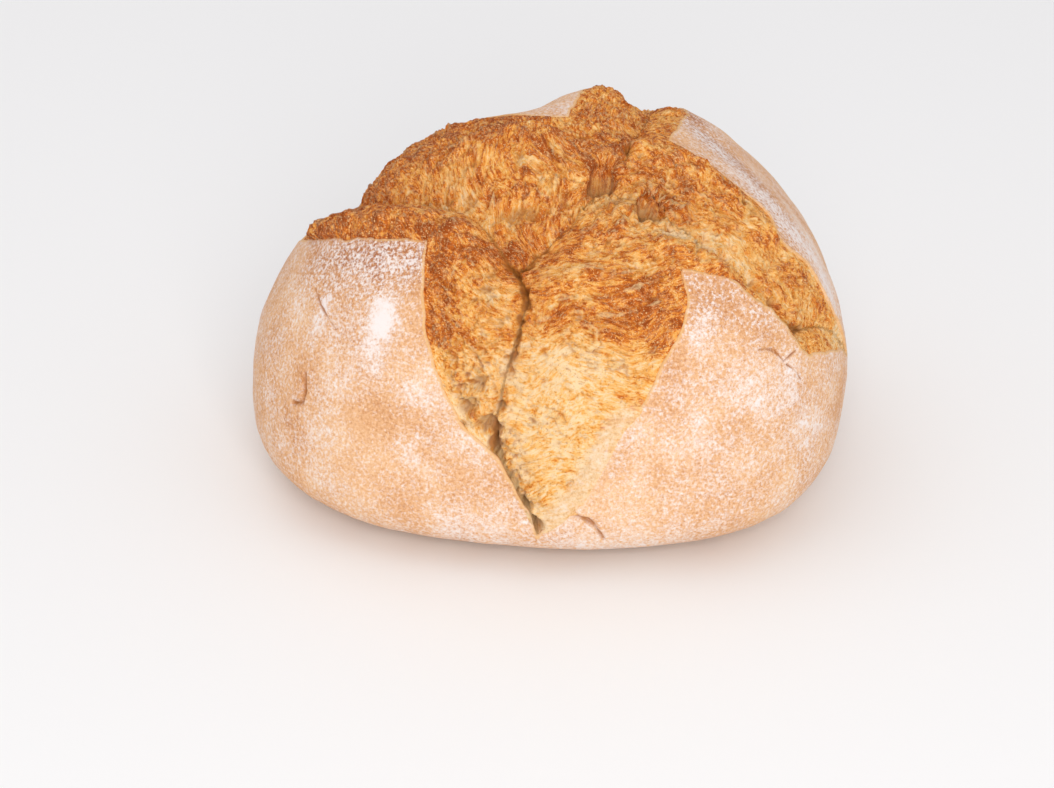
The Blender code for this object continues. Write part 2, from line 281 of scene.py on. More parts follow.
# Torn texture: sizes and heights of its layers, clumps, strands and grain, and the pores left by bubbles
LAYER_SPACING = 4.2
LAYER_HEIGHT = 1.2
LAYER_WARP = [(17.0, 5.0, 51), (6.0, 2.0, 52)]
CLUMP_SIZE = 5.0
CLUMP_HEIGHT = 1.7
CRUMBLE_SIZE = 2.4
CRUMBLE_HEIGHT = 1.2
STRAND_SIZE = 1.7
STRAND_REACH = 8.0
STRAND_HEIGHT = 0.4
FLAKES = [(11.0, 1.5), (5.0, 0.9)]
DEEPEST = 1.7
GRAIN_SIZE = 1.2
GRAIN_HEIGHT = 0.7
PORE_COUNT = 2600
PORE_RADIUS = (0.4, 1.3)

# Which way the fibres of each torn face run in space, how many times longer than wide they are, and the
# sizes of their swirls with how far each carries them off
FIBRES = {
    "front_left": ((0.70, -0.30, -0.65), 2.0),
    "rear_left": ((0.25, -0.85, -0.45), 4.0),
    "rear_right": ((0.75, -0.20, -0.60), 3.0),
    "front_right": ((1.00, 0.00, 0.12), 3.0),
}
SWIRLS = [(22.0, 6.0), (7.0, 1.8)]

# How rough the tear is, over a common level: places, more or less, and reach
ROUGH_LEVEL = 0.62
ROUGHNESS = [
    ([(8, -60), (26, -62), (45, -66)], 0.70, 11.0),
    ([(-42, -118), (-47, -130), (-36, -142), (-24, -166)], 0.80, 8.0),
    ([(-62, -42), (-42, -46)], 0.30, 11.0),
    ([(-33, -90), (-32, -108)], 0.40, 6.0),
    ([(0, -124), (16, -130), (6, -156), (-8, -142), (-10, -165)], -0.50, 16.0),
    ([(34, -94), (26, -106)], -0.35, 10.0),
    ([(84, -62), (112, -56)], -0.15, 12.0),
    ([(-60, -6), (-30, -14)], -0.15, 9.0),
]

# Thin folds that stand out of the torn crumb
FOLD_LINES = [
    [(-17, -99), (-4, -95), (12, -95), (30, -88)],
    [(-15, -103), (0, -100), (18, -100), (34, -93)],
    [(-3, -108), (2, -104), (10, -105), (11, -110), (4, -113), (-3, -108)],
    [(20, -105), (28, -101), (36, -103), (36, -112)],
    [(24, -113), (28, -119), (33, -116), (34, -108)],
    [(-19, -138), (-12, -133), (-3, -135), (0, -141)],
    [(-16, -109), (-4, -116), (14, -117), (26, -114)],
    [(28, -83), (18, -87), (4, -85), (-8, -88)],
    [(-51, -82), (-45, -90), (-44, -99), (-48, -106)],
    [(-40, -76), (-34, -84), (-32, -92), (-35, -100)],
    [(-42, -104), (-38, -110), (-38, -116)],
    [(-74, -30), (-64, -39), (-57, -41)],
    [(-36, -38), (-31, -46), (-33, -56)],
    [(-52, -28), (-47, -37), (-50, -43)],
    [(-24, -36), (-19, -46), (-20, -58)],
    [(-10, -36), (-8, -48), (-12, -60)],
    [(38, -56), (52, -56), (66, -62)],
    [(30, -48), (44, -50), (58, -56)],
    [(90, -66), (98, -62), (108, -62)],
    [(-64, 0), (-46, -8), (-28, -16)],
]
FOLD_LINE_RISE = 0.85
FOLD_LINE_WIDTH = 0.55
FOLD_LINE_WANDER = [(5.0, 1.1, 57), (1.6, 0.5, 58)]

# Meshes
CURVE_STEP = 4.0
RIM_STEP = 1.2
CRUMB_BALL_CUTS = 6
CRUMB_FINE_CUTS = 4
CRUST_BALL_CUTS = 7
NEAR_RIM = 8.0
NEAR_HAIRLINE = 1.0

# Lights: power, size and place in metres, and the point that they look at
LIGHTS = {"key": (19, 0.9, (0.15, -1.8, 0.95)), "top": (4, 1.6, (-0.5, 0.3, 1.9))}
LIGHTS_AIM = (0, 0, 0.06)
SURROUND = ("#fbfbff", 0.75)

# Camera: its lens and the photograph's width in pixels, its film, its place, and its angle down
LENS = 3364.4
FRAME_WIDTH = 1054
FILM_WIDTH = 36.0
CAMERA_PLACE = (-7.8, -1118.1, 649.6)
CAMERA_PITCH = 29.35


def plan_radius(turn):
    """Girth's radius in each direction: a rounded oval with three soft lobes, which fade behind."""
    across = np.abs(np.cos(turn) / HALF_WIDTH) ** PLAN_POWER
    along = np.abs(np.sin(turn) / HALF_DEPTH) ** PLAN_POWER
    lobes = PLAN_LOBES[0] * np.cos(3 * turn) + PLAN_LOBES[1] * np.sin(3 * turn)
    kept = 1 - LOBES_LOST_BEHIND * np.maximum(np.sin(turn), 0)
    return (across + along) ** (-1 / PLAN_POWER) * (1 + lobes * kept)


def shoulder_power(turn):
    """How full the dome's shoulder is in each direction."""
    return (SHOULDER_POWER["mean"] - SHOULDER_POWER["front_less_back"] * np.sin(turn)
            - SHOULDER_POWER["sides_less_ends"] * np.cos(2 * turn)
            + SHOULDER_POWER["diagonal"] * np.sin(2 * turn))


def dome(fall, turn):
    """Points and outward directions of the plain dome, fall being the angle down from the crown."""
    radius = plan_radius(turn)
    above = np.cos(fall) > 0
    power = np.where(above, shoulder_power(turn), FOOT_POWER)
    reach = np.where(above, HEIGHT - GIRTH_HEIGHT, FOOT_DROP)
    flat, rise = np.sin(fall) / radius, np.abs(np.cos(fall)) / reach
    length = (flat ** power + rise ** power) ** (-1 / power)
    out, up = length * np.sin(fall), length * np.cos(fall)
    height = np.maximum(GIRTH_HEIGHT + up, 0.0)
    lean = height / HEIGHT
    points = np.stack([
        out * np.cos(turn) + CROWN_SHIFT[0] * lean + STAND_SHIFT[0],
        out * np.sin(turn) + CROWN_SHIFT[1] * lean + STAND_SHIFT[1],
        height], axis=-1)
    slope_out = (out / radius) ** (power - 1) / radius
    slope_up = np.sign(up) * (np.abs(up) / reach) ** (power - 1) / reach
    steep = np.hypot(slope_out, slope_up)
    outward = np.stack([
        slope_out / steep * np.cos(turn),
        slope_out / steep * np.sin(turn),
        slope_up / steep], axis=-1)
    return points, outward


def angles(places):
    """Angle down from the crown and angle round it, at places on the skin map."""
    places = np.asarray(places, dtype=float)
    return np.hypot(places[:, 0], places[:, 1]) / SKIN_SCALE, np.arctan2(places[:, 1], places[:, 0])


def on_map(directions):
    """Places on the skin map of directions from the middle of the girth."""
    fall = np.arccos(np.clip(directions[:, 2], -1, 1))
    turn = np.arctan2(directions[:, 1], directions[:, 0])
    return SKIN_SCALE * fall[:, None] * np.stack([np.cos(turn), np.sin(turn)], axis=-1)


def on_dome(places):
    """Points of the plain dome at places on the skin map."""
    return dome(*angles(places))[0]


def smooth_curve(knots, spacing=CURVE_STEP):
    """A curve through all knots (Catmull-Rom), with a point about every spacing."""
    knots = np.asarray(knots, dtype=float)
    ends = np.vstack([2 * knots[0] - knots[1], knots, 2 * knots[-1] - knots[-2]])
    points = []
    for a, b, c, d in zip(ends, ends[1:], ends[2:], ends[3:]):
        steps = max(1, round(float(np.linalg.norm(c[:2] - b[:2])) / spacing))
        for t in np.arange(steps) / steps:
            points.append(0.5 * (2 * b + (c - a) * t + (2 * a - 5 * b + 4 * c - d) * t ** 2
                                 + (3 * b - a - 3 * c + d) * t ** 3))
    points.append(knots[-1])
    return np.array(points)


def to_curve(points, curve):
    """Distance from each point to a curve, how far along it (in knots) is nearest, and the place there."""
    best = np.full(len(points), np.inf)
    along = np.zeros(len(points))
    nearest = np.zeros_like(points)
    for i, (start, end) in enumerate(zip(curve, curve[1:])):
        step = end - start
        t = np.clip((points - start) @ step / max(step @ step, 1e-9), 0, 1)
        place = start + t[:, None] * step
        gap = ((points - place) ** 2).sum(axis=1)
        nearer = gap < best
        best[nearer] = gap[nearer]
        along[nearer] = i + t[nearer]
        nearest[nearer] = place[nearer]
    return np.sqrt(best), along, nearest


def beside(points, knots):
    """Distance from each point to a smooth curve on the dome."""
    return to_curve(points, on_dome(smooth_curve(knots)))[0]


def painted(points, strokes, level=0.0):
    """A level that strokes over the skin add to: each is places, more or less, and reach."""
    total = np.full(len(points), level)
    for knots, more, reach in strokes:
        gap, _, _ = to_curve(points, on_dome(knots))
        total += more * np.exp(-(gap / reach) ** 2)
    return total


def inside(places, outline):
    """Whether each place on the skin map lies inside a closed outline."""
    x, y = places[:, 0], places[:, 1]
    result = np.zeros(len(places), dtype=bool)
    for (x0, y0), (x1, y1) in zip(outline, np.roll(outline, -1, axis=0)):
        crosses = (y0 > y) != (y1 > y)
        if y1 != y0:
            result ^= crosses & (x < x0 + (y - y0) * (x1 - x0) / (y1 - y0))
    return result


def blend(low, high, value):
    """Smooth step from 0 at low to 1 at high."""
    t = np.clip((value - low) / (high - low), 0, 1)
    return t * t * (3 - 2 * t)


def waves(points, size, seed, cells=32):
    """Smooth random swells of about the given size, between -1 and 1, the same each run."""
    table = np.random.default_rng(seed).uniform(-1, 1, (cells, cells, cells))
    scaled = points / size + 100.0
    cell = np.floor(scaled).astype(int)
    part = scaled - cell
    part = part * part * (3 - 2 * part)
    total = np.zeros(len(points))
    for corner in np.ndindex(2, 2, 2):
        share = np.ones(len(points))
        for axis in range(3):
            share *= part[:, axis] if corner[axis] else 1 - part[:, axis]
        index = (cell + corner) % cells
        total += share * table[index[:, 0], index[:, 1], index[:, 2]]
    return total


def turned_waves(points, size, seed):
    """Swells on axes turned at random, so that fine ones show no grid."""
    axes, _ = np.linalg.qr(np.random.default_rng(seed).normal(size=(3, 3)))
    return waves(points @ axes, size, seed, cells=64)


def wobble(points, layers):
    """Swells of several sizes together: layers are size, height and seed."""
    return sum(height * turned_waves(points, size, seed) for size, height, seed in layers)


def streaks(points, pull, size, reach, seed):
    """Swells drawn out along pull, as strands are when dough tears."""
    steps = np.linspace(-0.5, 0.5, 9)
    total = sum(turned_waves(points + pull * (reach * step), size, seed) for step in steps)
    return total / 4.0


def rough_outline():
    """The opening's outline on the skin map, back to its first point, with notches of torn crust."""
    sides = [smooth_curve(side, RIM_STEP)[:-1] for petal in PETALS.values() for side in petal]
    places = np.vstack(sides)
    in_space = on_dome(places)
    for size, reach, seed in NOTCHES:
        for axis in (0, 1):
            places[:, axis] += reach * waves(in_space, size, seed + 10 * axis)
    return np.vstack([places, places[:1]])


OUTLINE = rough_outline()
RIM = on_dome(OUTLINE)


def sag(points):
    """Swells and dips of the whole skin over the plain dome."""
    height = SWELL_HEIGHT * waves(points, SWELL_SIZE, seed=8)
    for u, v, drop, radius in DIPS:
        gap = np.linalg.norm(points - on_dome([(u, v)]), axis=1)
        height -= drop * np.exp(-(gap / radius) ** 2)
    return height


def hairline(points):
    """How deep the hairline splits go, and how near each point is to one, from 0 to 1."""
    drop = np.zeros(len(points))
    near = np.zeros(len(points))
    jitter = wobble(points, HAIRLINE_WANDER)
    for knots, depth, width in HAIRLINES:
        gap = beside(points, knots)
        closeness = np.exp(-((gap + jitter) / width) ** 2) * (gap < 4 * width + 1)
        drop = np.maximum(drop, depth * closeness)
        near = np.maximum(near, closeness)
    return drop, near


def softness(points):
    """1 where the crust has no edge, fading to 0 where its rim is torn."""
    gap, _, _ = to_curve(points, on_dome(SOFT_RIM))
    return np.exp(-(gap / SOFT_REACH) ** 2)


def soft_share(points, to_rim):
    """1 along the soft rim, where crust and crumb share one colour, fading to 0 on both sides."""
    most, width = SOFT_COLOUR
    return most * blend(0.1, 0.9, softness(points) * np.exp(-(to_rim / width) ** 2))


def crust_height(points, to_rim):
    """Crust over the plain dome: soft dimples, and a lip that lifts towards the opening."""
    soft = softness(points)
    dimples = wobble(points, DIMPLES) * (1 - soft * np.exp(-(to_rim / DIMPLE_FADE) ** 2))
    sink, width = SOFT_SINK
    lip = RIM_LIFT * np.exp(-to_rim / RIM_LIFT_RUN) * (1 - soft)
    lip -= sink * soft * np.exp(-(to_rim / width) ** 2)
    knots, drop, reach = FOLDED_BACK
    return sag(points) + dimples + lip - drop * np.exp(-(beside(points, knots) / reach) ** 2)


def stand(points, outward, height):
    """Points lifted off the dome, with the foot left flat."""
    foot = blend(0, FOOT_BAND, points[:, 2])
    lifted = points + (foot * height)[:, None] * outward
    lifted[:, 2] = np.maximum(lifted[:, 2], 0)
    return lifted


def deselect():
    bpy.ops.object.select_all(action="DESELECT")


def ball(name, cuts):
    """A ball of even triangles, which a loaf's skin is drawn out of."""
    deselect()
    bpy.ops.mesh.primitive_ico_sphere_add(subdivisions=cuts, radius=1.0)
    piece = bpy.context.object
    piece.name = name
    piece.data.name = name
    return piece


def directions_of(piece):
    """Each vertex's direction from the middle."""
    flat = np.empty(len(piece.data.vertices) * 3)
    piece.data.vertices.foreach_get("co", flat)
    points = flat.reshape(-1, 3)
    return points / np.linalg.norm(points, axis=1, keepdims=True)


def corners_of(piece):
    """The three vertices of each triangle."""
    corners = np.empty(len(piece.data.loops), dtype=int)
    piece.data.loops.foreach_get("vertex_index", corners)
    return corners.reshape(-1, 3)


def sides_of(corners):
    """Every edge once, which of them each triangle's three sides are, and how many triangles each has."""
    sides = np.sort(np.vstack([corners[:, [0, 1]], corners[:, [1, 2]], corners[:, [2, 0]]]), axis=1)
    sides, which, count = np.unique(sides, axis=0, return_inverse=True, return_counts=True)
    return sides, which.ravel(), count


def edit(piece, chosen, *steps):
    """Runs edit-mode steps on the chosen faces."""
    deselect()
    piece.select_set(True)
    bpy.context.view_layer.objects.active = piece
    mesh = piece.data
    mesh.vertices.foreach_set("select", np.zeros(len(mesh.vertices), dtype=bool))
    mesh.edges.foreach_set("select", np.zeros(len(mesh.edges), dtype=bool))
    mesh.polygons.foreach_set("select", chosen)
    bpy.context.tool_settings.mesh_select_mode = (False, False, True)
    bpy.ops.object.mode_set(mode="EDIT")
    for step in steps:
        step()
    bpy.ops.object.mode_set(mode="OBJECT")


def even_triangles():
    bpy.ops.mesh.select_all(action="SELECT")
    bpy.ops.mesh.quads_convert_to_tris()


def write_points(piece, points):
    piece.data.vertices.foreach_set("co", (points * MM).ravel())
    piece.data.update()


def write_values(piece, name, values):
    piece.data.attributes.new(name, "FLOAT", "POINT").data.foreach_set("value", values.astype(np.float32))


def fissures(points):
    """How deep the splits in the valleys go."""
    deepest = np.zeros(len(points))
    for knots in FISSURES:
        curve = smooth_curve(knots)
        gap, along, _ = to_curve(points, on_dome(curve[:, :2]))
        depth = np.interp(along, np.arange(len(curve)), curve[:, 2])
        deepest = np.maximum(deepest, depth * np.exp(-(gap / FISSURE_WIDTH) ** 2))
    return deepest


def torn_faces():
    """Each petal's torn face on the skin map, as far as the cracks, and where its rim starts and ends."""
    paths = {name: [knot[:2] for knot in knots] for name, knots in CRACKS.items()}
    fork = paths["rear"].index(paths["right"][0])
    bounds = {
        "front_left": paths["left"][::-1] + paths["front"],
        "rear_left": paths["rear"][::-1] + paths["left"],
        "rear_right": paths["right"][::-1] + paths["rear"][fork:],
        "front_right": paths["front"][::-1] + paths["rear"][:fork + 1] + paths["right"],
    }
    starts = np.cumsum([0] + [sum(len(smooth_curve(side, RIM_STEP)) - 1 for side in petal)
                              for petal in PETALS.values()])
    for name, first, last in zip(PETALS, starts, starts[1:]):
        back = smooth_curve(np.array(bounds[name], dtype=float), RIM_STEP)
        yield np.vstack([OUTLINE[first:last + 1], back]), first, last


def crack_valley(points):
    """Distance to the nearest crack, the valley's depth there, and the place on the crack."""
    to_crack = np.full(len(points), np.inf)
    depth = np.zeros(len(points))
    crack = np.zeros_like(points)
    for knots in CRACKS.values():
        curve = smooth_curve(knots)
        gap, along, nearest = to_curve(points, on_dome(curve[:, :2]))
        nearer = gap < to_crack
        to_crack[nearer] = gap[nearer]
        depth[nearer] = np.interp(along[nearer], np.arange(len(curve)), curve[:, 2])
        crack[nearer] = nearest[nearer]
    return to_crack, depth, crack


def pores(points, pull, torn, deep):
    """Dents left by bubbles, drawn out along the tear, more of them low in the valleys."""
    rng = np.random.default_rng(77)
    candidates = np.flatnonzero(torn)
    chance = 0.35 + deep[candidates]
    centres = rng.choice(candidates, PORE_COUNT, replace=False, p=chance / chance.sum())
    tree = kdtree.KDTree(len(candidates))
    for slot, index in enumerate(candidates):
        tree.insert(points[index], slot)
    tree.balance()
    ragged = 0.35 * turned_waves(points, 1.6, 78)
    dents = np.zeros(len(points))
    low, high = PORE_RADIUS
    for centre in centres:
        radius = low + (high - low) * rng.random() ** 3
        stretch = 1.0 + rng.random()
        found = [candidates[slot] for _, slot, _ in tree.find_range(points[centre], radius * stretch * 1.4)]
        if not found:
            continue
        found = np.array(found)
        offset = points[found] - points[centre]
        along = offset @ pull[centre]
        across2 = (offset ** 2).sum(axis=1) - along ** 2
        gap = np.sqrt(np.maximum(across2 + (along / stretch) ** 2, 0)) / radius + ragged[found]
        bowl = -0.75 * radius * np.maximum(1 - gap ** 2, 0)
        lip = 0.16 * radius * np.exp(-((gap - 1.1) / 0.18) ** 2)
        dents[found] += bowl + lip
    return np.maximum(dents, -high)


def torn_texture(points, pull, to_rim):
    """Fine relief of torn crumb: layers that break off, clumps with creases between, strands and grain."""
    away = blend(0.3, 4.0, to_rim)
    to_folds = np.linalg.norm(points - on_dome([FOLDS_AT]), axis=1)
    folds = 1 - 2 * np.abs(streaks(points, pull, FOLD_SIZE, FOLD_REACH, 56))
    layer = (to_rim + wobble(points, LAYER_WARP)) / LAYER_SPACING
    layer -= np.floor(layer)
    layered = blend(-0.35, 0.3, turned_waves(points, 14.0, 53))
    clumps = np.abs(streaks(points, pull, CLUMP_SIZE, 7.0, 54)) ** 0.8
    crumbles = np.abs(streaks(points, pull, CRUMBLE_SIZE, 4.0, 55))
    strands = 1 - 2 * np.abs(streaks(points, pull, STRAND_SIZE, STRAND_REACH, 42))
    rough = painted(points, ROUGHNESS, ROUGH_LEVEL)
    fine = LAYER_HEIGHT * (layer - 0.5) * layered
    fine += CLUMP_HEIGHT * (clumps - 0.45)
    fine += CRUMBLE_HEIGHT * (crumbles - 0.4)
    fine += STRAND_HEIGHT * (strands - 0.2)
    common, most = FOLD_HEIGHT
    gathered = np.exp(-(to_folds / FOLDS_RADIUS) ** 4)
    fine = fine * rough + (common * rough + (most - common) * gathered) * folds
    humps = 0.7 - 2 * np.abs(turned_waves(points, HUMP_SIZE, 59))
    fine += HUMP_HEIGHT * rough * humps
    # lip says where the crumb's colour gets a painted highlight, on a layer's edge, and painted shadow,
    # just under it
    lip = layered * (blend(0.82, 0.98, layer) - blend(0.25, 0.0, layer)) * rough
    for number, (size, height) in enumerate(FLAKES):
        level = 2.0 * wobble(points, [(size, 1.5, 90 + number), (size / 3, 0.5, 94 + number)])
        level -= np.floor(level)
        shown = blend(-0.1, 0.3, turned_waves(points, size, 98 + number)) * rough
        fine += height * (level ** 2 - 0.33) * shown
        lip += (blend(0.8, 0.98, level) - blend(0.22, 0.0, level)) * shown
    jitter = wobble(points, FOLD_LINE_WANDER)
    broken = blend(-0.25, 0.25, turned_waves(points, 4.0, 60))
    for knots in FOLD_LINES:
        gap = beside(points, knots) + jitter
        line = broken * np.exp(-(gap / FOLD_LINE_WIDTH) ** 2)
        shade = broken * np.exp(-((gap - 2.2 * FOLD_LINE_WIDTH) / FOLD_LINE_WIDTH) ** 2)
        fine += FOLD_LINE_RISE * (line - 0.6 * shade)
        # Painted highlight along each fold line and painted shade beside it
        lip += 1.2 * line - 1.0 * shade
    grain = np.abs(turned_waves(points, GRAIN_SIZE, 43)) - 0.3
    fine = np.where(fine < 0, DEEPEST * np.tanh(fine / DEEPEST), fine)
    return fine * away + GRAIN_HEIGHT * grain * blend(0, 1.5, to_rim), lip * away


def make_crumb():
    """The torn inside of the loaf: fine over the opening, plain where the crust covers it."""
    piece = ball("torn_crumb", CRUMB_BALL_CUTS)
    places = on_map(directions_of(piece))
    to_rim, _, _ = to_curve(on_dome(places), RIM[::3])
    near = inside(places, OUTLINE) | (to_rim < NEAR_RIM)
    faces = near[corners_of(piece)].all(axis=1)
    edit(piece, faces, lambda: bpy.ops.mesh.subdivide(number_cuts=CRUMB_FINE_CUTS), even_triangles)

    places = on_map(directions_of(piece))
    points, outward = dome(*angles(places))
    to_rim, along, rim = to_curve(points, RIM)
    opened = inside(places, OUTLINE)
    face = np.zeros(len(points), dtype=int)
    for number, (outline, first, last) in enumerate(torn_faces()):
        face[~opened & (along >= first) & (along <= last)] = number
        mine = opened & inside(places, outline)
        face[mine] = number
        to_rim[mine], _, rim[mine] = to_curve(points[mine], RIM[first:last + 1])
    to_crack, depth, crack = crack_valley(points)
    pull = crack - rim
    pull /= np.maximum(np.linalg.norm(pull, axis=1, keepdims=True), 1e-6)
    soft = softness(points)

    inwards = to_rim / (to_rim + np.hypot(to_crack, FLOOR_WIDTH))
    relief = -depth * inwards ** VALLEY_POWER
    relief -= CRUMB_STEP * blend(0, CRUMB_STEP_RUN, to_rim) * (1 - inwards) * (1 - soft)
    for knots, rise, width in RIDGES.values():
        relief += rise * np.exp(-(beside(points, knots) / width) ** 2)
    hollow = np.zeros(len(points))
    ragged = wobble(points, HOLLOW_EDGE)
    for u, v, drop, radius in HOLLOWS:
        gap = np.linalg.norm(points - on_dome([(u, v)]), axis=1) + ragged
        bowl = np.exp(-np.maximum(gap / radius, 0) ** 4)
        relief -= drop * bowl
        hollow = np.maximum(hollow, bowl)
    relief += LUMP_HEIGHT * waves(points, LUMP_SIZE, seed=3) * blend(0, LUMP_SIZE, to_rim)
    relief *= np.where(opened, 1, 0)
    relief += sag(points)

    deep = np.clip(depth * inwards ** 2 / 14, 0, 1)
    fine, lip = torn_texture(points, pull, to_rim)
    fine += pores(points, pull, opened & (to_rim > 1.5), deep)
    wander = np.column_stack([wobble(points, layers) for layers in FISSURE_WANDER])
    cleft = fissures(points + wander)
    fine = np.where(opened, fine - cleft, 0)
    # From here cleft says how much painted shade the fissures put into the crumb's colour
    cleft = np.clip(cleft / 5, 0, 1)

    low, high = RIM_OVERLAP
    rim_edge = low + (high - low) * blend(-0.1, 0.6, turned_waves(points, 9.0, 46)) - SOFT_OVERLAP * soft
    signed = np.where(opened, to_rim, -to_rim)
    shown = blend(rim_edge, rim_edge + RIM_FADE + SOFT_FADE * soft, signed)[:, None]
    under = UNDER_CRUST * (1 - SOFT_UNDER * soft)
    covered = points + (crust_height(points, to_rim) - under)[:, None] * outward
    covered[:, 2] = np.maximum(covered[:, 2], UNDER_CRUST)
    shaped = covered + shown * (stand(points, outward, relief + fine) - covered)

    for knots, middle, overhang, width in ROOFS:
        gap, _, roof = to_curve(points, on_dome(smooth_curve(knots)))
        forward = on_dome([middle]) - roof
        forward /= np.linalg.norm(forward, axis=1, keepdims=True)
        shaped += overhang * np.exp(-(gap / width) ** 2)[:, None] * forward

    brown = np.zeros(len(points))
    weight = np.full(len(points), 1e-4)
    for knots, level, reach in BROWNING:
        gap, _, _ = to_curve(points, on_dome(knots))
        share = np.exp(-(gap / reach) ** 2) + 0.02 * np.exp(-gap / reach)
        brown += level * share
        weight += share
    strand = np.zeros_like(points)
    swirled = points.copy()
    for axis in range(3):
        for size, reach in SWIRLS:
            swirled[:, axis] += reach * turned_waves(points, size, 110 + axis)
    for number, name in enumerate(PETALS):
        mine = face == number
        towards, stretch = FIBRES[name]
        axes, _ = np.linalg.qr(np.column_stack([towards, (0, 0, 1), (0, 1, 0)]))
        strand[mine] = swirled[mine] @ axes / (stretch, 1, 1) + 40 * number
    write_points(piece, shaped)
    fibres = piece.data.attributes.new("strand", "FLOAT_VECTOR", "POINT")
    fibres.data.foreach_set("vector", strand.ravel())
    write_values(piece, "browning", brown / weight)
    write_values(piece, "relief", fine)
    # lip: painted highlight on the edges of layers, flakes and folds, and painted shadow under them
    write_values(piece, "lip", lip)
    write_values(piece, "cleft", cleft)
    # hollow: where the crumb's colour gets painted shade inside hollows and caves
    write_values(piece, "hollow", hollow)
    write_values(piece, "soft", soft_share(points, to_rim))
    bpy.ops.object.shade_smooth()
    return piece


def relax(places, sides, edge, free, rounds=6):
    """Evens out the places of free vertices, those on the edge along the outline only."""
    on_edge = np.zeros(len(places), dtype=bool)
    on_edge[edge] = True
    border = on_edge[sides].all(axis=1)
    for _ in range(rounds):
        for chosen, links in ((on_edge, sides[border]), (free & ~on_edge, sides)):
            total = np.zeros_like(places)
            count = np.zeros(len(places))
            for a, b in (links.T, links.T[::-1]):
                np.add.at(total, a, places[b])
                np.add.at(count, a, 1)
            moved = chosen & (count > 1)
            places[moved] = total[moved] / count[moved, None]
        _, _, places[edge] = to_curve(places[edge], OUTLINE)
    return places


def make_crust():
    """The floured skin: a shell with a cross-shaped opening, whose torn rim lifts off the crumb."""
    piece = ball("floured_crust", CRUST_BALL_CUTS)
    places = on_map(directions_of(piece))
    to_rim, _, _ = to_curve(on_dome(places), RIM[::3])
    faces = (to_rim < NEAR_RIM)[corners_of(piece)].any(axis=1)
    edit(piece, faces, lambda: bpy.ops.mesh.subdivide(number_cuts=1), even_triangles)
    points = on_dome(on_map(directions_of(piece)))
    split = np.zeros(len(points), dtype=bool)
    for knots, _, width in HAIRLINES:
        split |= beside(points, knots) < NEAR_HAIRLINE + width
    faces = split[corners_of(piece)].any(axis=1)
    edit(piece, faces, lambda: bpy.ops.mesh.subdivide(number_cuts=HAIRLINE_CUTS), even_triangles)

    middles = directions_of(piece)[corners_of(piece)].mean(axis=1)
    middles /= np.linalg.norm(middles, axis=1, keepdims=True)
    loose = inside(on_map(middles), OUTLINE)
    while loose.any():
        edit(piece, loose, lambda: bpy.ops.mesh.delete(type="FACE"))
        corners = corners_of(piece)
        sides, which, count = sides_of(corners)
        loose = (count[which].reshape(3, -1) == 1).sum(axis=0) > 1

    places = on_map(directions_of(piece))
    to_rim, _, _ = to_curve(on_dome(places), RIM[::3])
    edge = np.unique(sides[count == 1])
    _, _, places[edge] = to_curve(places[edge], OUTLINE)
    places = relax(places, sides, edge, to_rim < NEAR_RIM)
    points, outward = dome(*angles(places))
    to_rim, _, _ = to_curve(points, RIM)
    drop, split = hairline(points)
    write_points(piece, stand(points, outward, crust_height(points, to_rim) - drop))
    # split: how much painted shade the hairline splits put into the crust's colour
    write_values(piece, "split", split)
    write_values(piece, "from_rim", to_rim)
    write_values(piece, "soft", soft_share(points, to_rim))
    write_values(piece, "flour", painted(points, FLOURED))
    write_values(piece, "toast", painted(points, TOASTED))

    shell = piece.modifiers.new("crust_thickness", "SOLIDIFY")
    shell.thickness = CRUST_THICKNESS * MM
    shell.offset = -1.0
    bpy.ops.object.modifier_apply(modifier=shell.name)
    bpy.ops.object.shade_smooth()
    return piece


def lin(code):
    """An sRGB hex colour as linear RGBA."""
    parts = [int(code[i:i + 2], 16) / 255 for i in (1, 3, 5)]
    return [p / 12.92 if p <= 0.04045 else ((p + 0.055) / 1.055) ** 2.4 for p in parts] + [1.0]


def add(material, kind, settings=(), output=0, stops=(), **inputs):
    """Adds a node with its settings, a ramp's stops and its inputs, and gives one of its outputs.

    An input goes by its name, with _ for a space, or by i and its number where names repeat. It takes a
    value or another node's output. Stops are (position, colour).
    """
    tree = material.node_tree
    node = tree.nodes.new("ShaderNode" + kind)
    for name, value in dict(settings).items():
        setattr(node, name, value)
    if stops:
        elements = node.color_ramp.elements
        while len(elements) < len(stops):
            elements.new(0.5)
        for element, (position, colour) in zip(elements, stops):
            element.position = position
            element.color = lin(colour)
    for name, value in inputs.items():
        numbered = name[0] == "i" and name[1:].isdigit()
        socket = node.inputs[int(name[1:]) if numbered else name.replace("_", " ")]
        if isinstance(value, bpy.types.NodeSocket):
            tree.links.new(value, socket)
        else:
            socket.default_value = value
    return node.outputs[output] if node.outputs else None


def new_material(name):
    material = bpy.data.materials.new(name)
    material.use_nodes = True
    material.node_tree.nodes.clear()
    return material


def tinted(m, colour, tints):
    """A colour with tints over it: what each follows, where it starts and is full, its share and colour."""
    for value, start, full, share, tint in tints:
        shown = add(m, "MapRange", Value=value, From_Min=start, From_Max=full, To_Max=share)
        colour = add(m, "Mix", COLOURS, 2, i0=shown, i6=colour, i7=lin(tint))
    return colour


def soft_rim_colour(m, place):
    """Pale half-torn dough between crust and crumb, mottled a little."""
    mottle = add(m, "TexNoise", Vector=place, Scale=1 / (2.2 * MM), Detail=5.0, Roughness=0.75)
    return add(m, "ValToRGB", stops=((0.36, "#e2b07c"), (0.5, "#f2cfa4"), (0.62, "#f8e4d2")), Fac=mottle)


